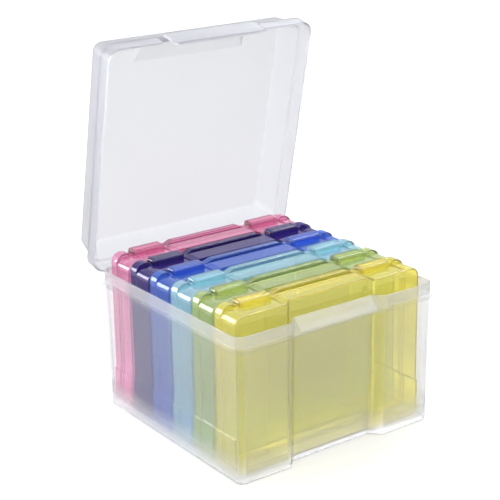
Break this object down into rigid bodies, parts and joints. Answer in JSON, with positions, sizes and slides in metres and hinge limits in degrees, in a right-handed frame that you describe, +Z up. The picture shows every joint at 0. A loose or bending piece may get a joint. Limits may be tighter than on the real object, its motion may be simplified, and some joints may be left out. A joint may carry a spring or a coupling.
{
  "type": "photo keeper case",
  "caption": "Clear hinged storage box with a latch tab, holding a row of coloured hinged photo cases that lift out one at a time.",
  "frame": {"origin": "centre of the box's foot, on the surface it stands on", "axes": "+X right along the front, -Y out of the front with the latch, +Z up"},
  "size_m": [0.21, 0.2497, 0.3297],
  "materials": {
    "clear": "hazy clear polypropylene",
    "yellow": "tinted clear plastic",
    "green": "tinted clear plastic",
    "skyblue": "tinted clear plastic",
    "royalblue": "tinted clear plastic",
    "purple": "tinted clear plastic",
    "pink": "tinted clear plastic"
  },
  "bodies": {
    "box": {"outer_box": "clear"},
    "lid": {"outer_lid": "clear"},
    "yellow_case": {"yellow_base": "yellow", "yellow_lid": "yellow"},
    "green_case": {"green_base": "green", "green_lid": "green"},
    "skyblue_case": {"skyblue_base": "skyblue", "skyblue_lid": "skyblue"},
    "royalblue_case": {"royalblue_base": "royalblue", "royalblue_lid": "royalblue"},
    "purple_case": {"purple_base": "purple", "purple_lid": "purple"},
    "pink_case": {"pink_base": "pink", "pink_lid": "pink"}
  },
  "joints": [
    {"name": "lid_hinge", "type": "hinge", "parent": "box", "child": "lid", "pos_m": [0, 0.109, 0.1155], "axis": [-1, 0, 0], "range_deg": [-77.7, 29]},
    {"name": "yellow_lift", "type": "slide", "parent": "box", "child": "yellow_case", "axis": [0, 0, 1], "range_m": [0, 0.142]},
    {"name": "green_lift", "type": "slide", "parent": "box", "child": "green_case", "axis": [0, 0, 1], "range_m": [0, 0.142]},
    {"name": "skyblue_lift", "type": "slide", "parent": "box", "child": "skyblue_case", "axis": [0, 0, 1], "range_m": [0, 0.142]},
    {"name": "royalblue_lift", "type": "slide", "parent": "box", "child": "royalblue_case", "axis": [0, 0, 1], "range_m": [0, 0.142]},
    {"name": "purple_lift", "type": "slide", "parent": "box", "child": "purple_case", "axis": [0, 0, 1], "range_m": [0, 0.142]},
    {"name": "pink_lift", "type": "slide", "parent": "box", "child": "pink_case", "axis": [0, 0, 1], "range_m": [0, 0.142]}
  ]
}
